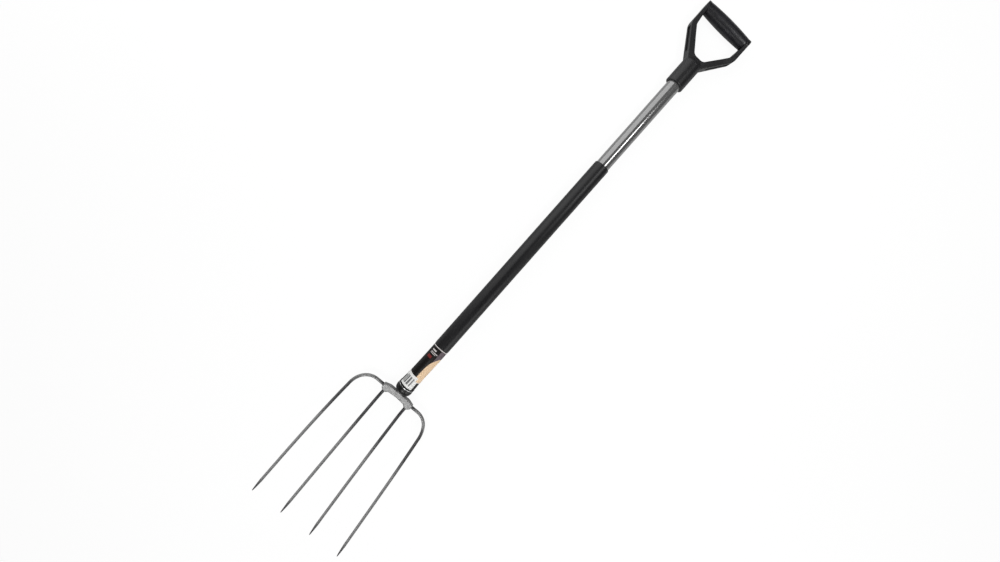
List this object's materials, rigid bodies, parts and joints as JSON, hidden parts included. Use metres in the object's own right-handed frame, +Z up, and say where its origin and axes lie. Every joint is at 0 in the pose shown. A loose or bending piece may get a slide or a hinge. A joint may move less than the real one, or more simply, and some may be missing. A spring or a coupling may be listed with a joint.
{
  "type": "compost fork",
  "caption": "Compost fork with slender swept steel tines, a bent tube shaft with a long black sleeve, and a moulded D handle.",
  "frame": {"origin": "on the ground under the middle of the fork's box, the fork lying with its tines curving up", "axes": "+X along the shaft towards the D handle, +Y across the tines, +Z up, the side that the tines curve towards"},
  "size_m": [1.197, 0.1884, 0.1512],
  "materials": {
    "handle_polypropylene": "fine-grained moulding",
    "grip_polypropylene": "satin moulding",
    "zinc_plated_steel": "bright zinc plating",
    "grey_painted_tube": "glossy grey metallic paint",
    "sleeve_black_plastic": "satin extruded sleeve",
    "sheath_black_plastic": "satin",
    "label_film": "printed matt label film",
    "seal_black_rubber": "matt",
    "bright_steel_band": "bright",
    "collar_black_rubber": "satin",
    "bush_nylon": "natural nylon",
    "bridge_forged_steel": "forged steel under grey metallic lacquer",
    "tine_steel": "round steel bar under grey metallic lacquer"
  },
  "bodies": {
    "root": {"shaft_tube": "grey_painted_tube", "grip_sleeve": "sleeve_black_plastic", "lower_sheath": "sheath_black_plastic", "label_wrap": "label_film", "seal_ring": "seal_black_rubber", "steel_band": "bright_steel_band", "collar": "collar_black_rubber", "tang_bush": "bush_nylon", "head_pin": "zinc_plated_steel", "bridge_tang": "bridge_forged_steel", "inner_tine_left": "tine_steel", "inner_tine_right": "tine_steel", "outer_tine_left": "tine_steel", "outer_tine_right": "tine_steel", "d_handle_yoke": "handle_polypropylene", "grip_barrel": "grip_polypropylene", "grip_pin": "zinc_plated_steel", "handle_screw": "zinc_plated_steel"}
  },
  "joints": []
}
